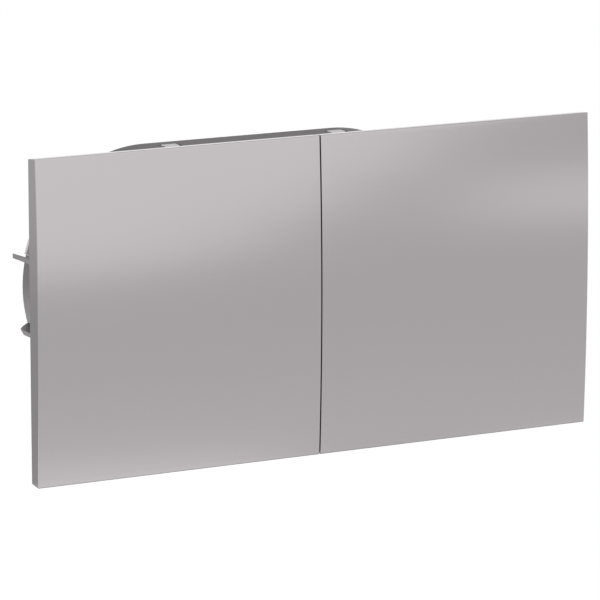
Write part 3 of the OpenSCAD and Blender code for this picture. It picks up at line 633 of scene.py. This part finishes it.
@dataclass
class ReturnSpring:
    """Wound wire that pushes a plunger forward; the piece is wound at rest and stays in place."""

    side: Side
    half: Half
    wire_mm: float = 0.5
    turns: int = 6
    steps_per_turn: int = 32
    wire_sides: int = 10

    def build(self) -> None:
        """Winds the wire between the contact base and the plunger's bridge."""
        place = f"{self.half.name.lower()}_{self.side.name.lower()}"
        node = f"return_spring_{place}"
        low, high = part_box(node)
        middle = (low + high) / 2
        wire_r = self.wire_mm * MM / 2
        coil_r = (high.x - low.x) / 2 - wire_r
        steps = self.turns * self.steps_per_turn
        rise = (high.y - low.y - 2 * wire_r) / steps
        bm = bmesh.new()
        bmesh.ops.create_circle(bm, radius=wire_r, segments=self.wire_sides)
        bmesh.ops.translate(bm, vec=(middle.x + coil_r, low.y + wire_r, middle.z), verts=bm.verts)
        bmesh.ops.spin(bm, geom=bm.verts[:] + bm.edges[:], cent=middle, axis=(0, 1, 0),
                       dvec=(0, rise, 0), angle=math.tau * self.turns, steps=steps,
                       use_duplicate=False)
        ends = [e for e in bm.edges if e.is_boundary]
        bmesh.ops.holes_fill(bm, edges=ends, sides=self.wire_sides)
        bmesh.ops.recalc_face_normals(bm, faces=bm.faces)
        piece = piece_from(f"{node}_wire", bm, node, SPRING_WIRE, rides=False)
        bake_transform(piece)


@dataclass
class Thread:
    """Thread of the screws of one CAD node, wound round their shanks."""

    node: str
    axes: list[tuple[float, float]]
    shank_mm: float
    pitch_mm: float
    depth_mm: float
    bare_mm: float
    steps_per_turn: int = 24
    flank_share: float = 0.42
    proud_share: float = 0.5

    def build(self, head_mm: float) -> None:
        """Winds a ridge round each shank, from its tip to a little short of its head.

        Args:
            head_mm: Height of a screw's head.
        """
        low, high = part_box(self.node)
        pitch, depth, shank_r = self.pitch_mm * MM, self.depth_mm * MM, self.shank_mm * MM / 2
        start_y = low.y + (head_mm + self.bare_mm) * MM
        turns = math.floor((high.y - self.bare_mm * MM - start_y) / pitch)
        steps = turns * self.steps_per_turn
        bm = bmesh.new()
        for x, z in self.axes:
            root_x, crest_x = x + shank_r - depth, x + shank_r + self.proud_share * depth
            corners = [bm.verts.new((root_x, start_y - self.flank_share * pitch, z)),
                       bm.verts.new((crest_x, start_y, z)),
                       bm.verts.new((root_x, start_y + self.flank_share * pitch, z))]
            edges = [bm.edges.new((corners[i - 1], corners[i])) for i in range(len(corners))]
            bmesh.ops.spin(bm, geom=corners + edges, cent=(x, 0, z), axis=(0, 1, 0),
                           dvec=(0, pitch / self.steps_per_turn, 0),
                           angle=math.tau * turns, steps=steps, use_duplicate=False)
        ends = [e for e in bm.edges if e.is_boundary]
        bmesh.ops.holes_fill(bm, edges=ends, sides=len(corners))
        bmesh.ops.recalc_face_normals(bm, faces=bm.faces)
        piece_from(f"{self.node}_thread", bm, self.node, BRIGHT_STEEL)


@dataclass
class Housing:
    """Casing, rear cover, support frame and the screws that hold them together."""

    casing_edge_mm: float = 0.2
    fine_edge_mm: float = 0.12
    screw_mm: float = 2.5
    screw_head_mm: float = 5.0
    screw_head_h_mm: float = 1.6
    thread_pitch_mm: float = 1.0
    thread_depth_mm: float = 0.3
    thread_bare_mm: float = 0.8

    def build(self) -> None:
        """Makes the pieces of the housing."""
        eased("casing", DARK_PLASTIC, self.casing_edge_mm)
        eased("rear_cover", LIGHT_PLASTIC, self.fine_edge_mm)
        eased("support_frame", ZINC_SHEET, self.fine_edge_mm)
        eased("assembly_screws", BRIGHT_STEEL, self.fine_edge_mm)
        self.build_threads()

    def build_threads(self) -> None:
        """Gives the four assembly screws their threads."""
        low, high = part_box("assembly_screws")
        head_r = self.screw_head_mm * MM / 2
        axes = [(x, z) for x in (low.x + head_r, high.x - head_r)
                for z in (low.z + head_r, high.z - head_r)]
        thread = Thread("assembly_screws", axes, self.screw_mm, self.thread_pitch_mm,
                        self.thread_depth_mm, self.thread_bare_mm)
        thread.build(self.screw_head_h_mm)


@dataclass
class Mechanism:
    """Deck, carriers, axles, plungers, springs and contacts behind the rockers."""

    sides: tuple[Side, ...] = (Side.LEFT, Side.RIGHT)
    halves: tuple[Half, ...] = (Half.TOP, Half.BOTTOM)
    deck_edge_mm: float = 0.12
    moulded_edge_mm: float = 0.1
    strip_edge_mm: float = 0.08
    spring_edge_mm: float = 0.05

    def build(self) -> None:
        """Makes the pieces of the mechanism."""
        eased("deck", DECK_PLASTIC, self.deck_edge_mm)
        eased("contact_base", INSULATOR, self.moulded_edge_mm)
        for side in self.sides:
            name = side.name.lower()
            eased(f"rocker_carrier_{name}", CARRIER_PLASTIC, self.moulded_edge_mm)
            eased(f"axle_{name}", BRIGHT_STEEL, self.moulded_edge_mm)
            eased(f"common_bar_{name}", COPPER_ALLOY, self.strip_edge_mm)
            eased(f"terminal_clamps_{name}", ZINC_SHEET, self.strip_edge_mm)
            eased(f"clamp_springs_{name}", SPRING_WIRE, self.spring_edge_mm)
            for half in self.halves:
                place = f"{half.name.lower()}_{name}"
                eased(f"plunger_{place}", CARRIER_PLASTIC, self.moulded_edge_mm)
                eased(f"contact_bridge_{place}", COPPER_ALLOY, self.strip_edge_mm)
                eased(f"output_strip_{place}", COPPER_ALLOY, self.strip_edge_mm)
                ReturnSpring(side, half).build()


@dataclass
class ClawFixing:
    """Claw at one end of the casing, with its pin and its screw."""

    side: Side
    claw_edge_mm: float = 0.06
    pin_edge_mm: float = 0.1
    screw_edge_mm: float = 0.12
    screw_mm: float = 3.5
    screw_head_h_mm: float = 2.0
    thread_pitch_mm: float = 0.6
    thread_depth_mm: float = 0.2
    thread_bare_mm: float = 1.6

    def build(self) -> None:
        """Makes the pieces of the fixing."""
        name = self.side.name.lower()
        eased(f"claw_{name}", CLAW_SHEET, self.claw_edge_mm)
        eased(f"claw_pin_{name}", BRIGHT_STEEL, self.pin_edge_mm)
        eased(f"claw_screw_{name}", BRIGHT_STEEL, self.screw_edge_mm)
        low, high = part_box(f"claw_screw_{name}")
        axis = ((low.x + high.x) / 2, (low.z + high.z) / 2)
        thread = Thread(f"claw_screw_{name}", [axis], self.screw_mm, self.thread_pitch_mm,
                        self.thread_depth_mm, self.thread_bare_mm)
        thread.build(self.screw_head_h_mm)


@dataclass(frozen=True)
class Softbox:
    """Flat lamp that faces the switch, given by the directions of its edges as seen from there.

    Azimuth runs to the right from the front of the switch and elevation up from the horizon, in
    degrees.
    """

    name: str
    azimuth: tuple[float, float]
    elevation: tuple[float, float]
    radiance: float
    distance: float = 4.0

    def build(self) -> bpy.types.Object:
        """Hangs the lamp.

        Returns:
            The lamp.
        """
        azimuth, elevation = (math.radians(sum(pair) / 2)
                              for pair in (self.azimuth, self.elevation))
        level = math.cos(elevation)
        away = Vector((math.sin(azimuth) * level, -math.cos(azimuth) * level, math.sin(elevation)))
        width, height = (2 * self.distance * math.tan(math.radians(abs(pair[1] - pair[0]) / 2))
                         for pair in (self.azimuth, self.elevation))
        light = bpy.data.lights.new(self.name, "AREA")
        light.shape = "RECTANGLE"
        light.size, light.size_y = width, height
        light.energy = self.radiance * math.pi * width * height
        lamp = bpy.data.objects.new(self.name, light)
        turn = (-away).to_track_quat("-Z", "Y").to_matrix().to_4x4()
        lamp.matrix_world = Matrix.Translation(away * self.distance) @ turn
        lamp.visible_camera = False
        bpy.context.scene.collection.objects.link(lamp)
        return lamp


def stage_piece(name: str, bm: bmesh.types.BMesh, paint: bpy.types.Material) -> bpy.types.Object:
    """Makes an object of a mesh of the studio.

    Args:
        name: Name of the object.
        bm: Mesh in the part's frame; it is freed.
        paint: Its material.

    Returns:
        The object.
    """
    mesh = bpy.data.meshes.new(name)
    bm.to_mesh(mesh)
    bm.free()
    mesh.materials.append(paint)
    made = bpy.data.objects.new(name, mesh)
    bpy.context.scene.collection.objects.link(made)
    return made


@dataclass(frozen=True)
class Card:
    """Grey card in the studio that only the glossy surfaces mirror.

    It lies level before it is tilted about X and turned about Z, and it may fade from one radiance
    at a lower height to another at a higher one.
    """

    name: str
    size: tuple[float, float]
    tilt_deg: float
    turn_deg: float
    place: tuple[float, float, float]
    radiance: tuple[float, float]
    fade: tuple[float, float] = (0.0, 1.0)

    def material(self) -> bpy.types.Material:
        """Makes the card's shaded grey.

        Returns:
            The material.
        """
        made = bpy.data.materials.new(self.name)
        tree = fresh_tree(made)
        place = add(tree, "ShaderNodeTexCoord").outputs["Object"]
        height = add(tree, "ShaderNodeSeparateXYZ", {0: place}).outputs["Z"]
        low, high = self.fade
        dim, bright = self.radiance
        level = add(tree, "ShaderNodeMapRange",
                    {"Value": height, "From Min": low, "From Max": high,
                     "To Min": dim, "To Max": bright})
        glow = add(tree, "ShaderNodeEmission",
                   {"Color": linear(WHITE), "Strength": level.outputs[0]})
        add(tree, "ShaderNodeOutputMaterial", {"Surface": glow.outputs[0]})
        return made

    def build(self) -> None:
        """Stands the card in its place."""
        bm = bmesh.new()
        bmesh.ops.create_grid(bm, x_segments=2, y_segments=2, size=0.5)
        bmesh.ops.scale(bm, vec=(*self.size, 1.0), verts=bm.verts)
        tilt = Matrix.Rotation(math.radians(self.tilt_deg), 3, "X")
        turn = Matrix.Rotation(math.radians(self.turn_deg), 3, "Z")
        bmesh.ops.rotate(bm, cent=(0, 0, 0), matrix=turn @ tilt, verts=bm.verts)
        bmesh.ops.translate(bm, vec=self.place, verts=bm.verts)
        card = stage_piece(self.name, bm, self.material())
        card.visible_camera = False
        card.visible_diffuse = False
        card.visible_shadow = False


@dataclass
class Studio:
    """Camera, lamps, world and floor."""

    eye: Vector = field(default_factory=lambda: Vector((-0.4481, -0.8436, 0.1889)))
    forward: Vector = field(default_factory=lambda: Vector((0.46066, 0.86548, -0.19684)))
    lens_mm: float = 265.2
    sensor_mm: float = 36.0
    ambient: float = 0.55
    floor_z: float = -1.1
    floor_size: float = 30.0
    floor_colour: str = "#b9b9b9"
    floor_glow: float = 0.73
    cards: tuple[Card, ...] = (
        Card("left_screen", (3.0, 0.65), 90.0, 24.0, (-1.1, 2.4, -0.385), (0.52, 0.76),
             fade=(-0.53, -0.45)),
        Card("rear_screen", (2.6, 1.3), 90.0, -28.0, (1.15, 2.16, 0.95), (0.42, 0.42)),
        Card("lower_flag", (0.6, 0.44), 0.0, 0.0, (0.1, 0.13, -0.15), (0.03, 0.03)),
    )
    lamps: tuple[Softbox, ...] = (
        Softbox("front_softbox", (2.0, 26.0), (-9.7, 14.0), 0.56),
        Softbox("front_softbox_flap_1", (26.0, 27.2), (-8.9, 14.0), 0.57),
        Softbox("front_softbox_flap_2", (27.2, 28.4), (-7.3, 14.0), 0.58),
        Softbox("front_softbox_flap_3", (28.4, 29.6), (-5.6, 14.0), 0.6),
        Softbox("front_softbox_flap_4", (29.6, 30.8), (-3.4, 14.0), 0.56),
        Softbox("upper_softbox", (0.0, 31.0), (14.0, 55.0), 0.7),
        Softbox("upper_fill", (-60.0, 0.0), (16.0, 50.0), 0.8),
        Softbox("right_strip", (30.5, 50.0), (-8.5, -6.1), 0.46),
        Softbox("floor_bounce", (8.0, 27.6), (-30.0, -19.2), 0.4, distance=2.0),
        Softbox("floor_bounce_right", (33.0, 45.0), (-30.0, -18.4), 0.12, distance=2.0),
        Softbox("low_left_softbox", (-140.0, -70.0), (-65.0, -15.0), 0.9, distance=1.1),
        Softbox("left_rim_strip", (-160.0, -140.0), (-40.0, -21.0), 8.0, distance=1.6),
    )

    def build_camera(self) -> None:
        """Sets up the camera at the photograph's view."""
        data = bpy.data.cameras.new("photo_camera")
        data.sensor_fit = "HORIZONTAL"
        data.sensor_width = self.sensor_mm
        data.lens = self.lens_mm
        camera = bpy.data.objects.new("photo_camera", data)
        ahead = self.forward.normalized()
        right = ahead.cross(Vector((0, 0, 1))).normalized()
        up = right.cross(ahead)
        turn = Matrix((right, up, -ahead)).transposed().to_4x4()
        camera.matrix_world = Matrix.Translation(self.eye) @ turn
        bpy.context.scene.collection.objects.link(camera)
        bpy.context.scene.camera = camera

    def seen_directly(self, tree: bpy.types.NodeTree) -> bpy.types.NodeSocket:
        """Adds a test for rays that show the background itself.

        Args:
            tree: Node tree of the world or of the floor.

        Returns:
            Socket that is 1 for camera, glossy and transmission rays and 0 for the others.
        """
        path = add(tree, "ShaderNodeLightPath")
        total = path.outputs["Is Camera Ray"]
        for name in ("Is Glossy Ray", "Is Transmission Ray"):
            either = add(tree, "ShaderNodeMath", {0: total, 1: path.outputs[name]},
                         operation="MAXIMUM")
            total = either.outputs[0]
        return total

    def build_world(self) -> None:
        """Makes a white world that lights the switch at a softer level than it shows."""
        world = bpy.data.worlds.new("white_studio")
        tree = fresh_tree(world)
        level = add(tree, "ShaderNodeMapRange",
                    {"Value": self.seen_directly(tree), "To Min": self.ambient, "To Max": 1.0})
        back = add(tree, "ShaderNodeBackground",
                   {"Color": linear(WHITE), "Strength": level.outputs[0]})
        add(tree, "ShaderNodeOutputWorld", {"Surface": back.outputs[0]})
        bpy.context.scene.world = world

    def build_floor(self) -> None:
        """Lays a pale floor at the height that a switch hangs above one."""
        bm = bmesh.new()
        bmesh.ops.create_grid(bm, x_segments=2, y_segments=2, size=self.floor_size / 2)
        bmesh.ops.translate(bm, vec=(0, 0, self.floor_z), verts=bm.verts)
        paint = bpy.data.materials.new("pale_studio_floor")
        tree = fresh_tree(paint)
        matt = add(tree, "ShaderNodeBsdfDiffuse", {"Color": linear(self.floor_colour)})
        glow = add(tree, "ShaderNodeMath",
                   {0: self.seen_directly(tree), 1: self.floor_glow}, operation="MULTIPLY")
        lift = add(tree, "ShaderNodeEmission",
                   {"Color": linear(WHITE), "Strength": glow.outputs[0]})
        both = add(tree, "ShaderNodeAddShader", {0: matt.outputs[0], 1: lift.outputs[0]})
        add(tree, "ShaderNodeOutputMaterial", {"Surface": both.outputs[0]})
        stage_piece("floor", bm, paint)

    def build(self) -> None:
        """Sets up the whole studio."""
        bpy.context.scene.view_settings.view_transform = "Standard"
        self.build_camera()
        self.build_world()
        self.build_floor()
        for card in self.cards:
            card.build()
        for lamp in self.lamps:
            lamp.build()
            log.info("lamp %s", lamp.name)


def main() -> None:
    """Builds the studio and then the switch, from the front to the back."""
    Studio().build()
    for side in Side:
        Rocker(side).build()
    Mechanism().build()
    Housing().build()
    for side in Side:
        ClawFixing(side).build()


if __name__ == "__main__":
    main()
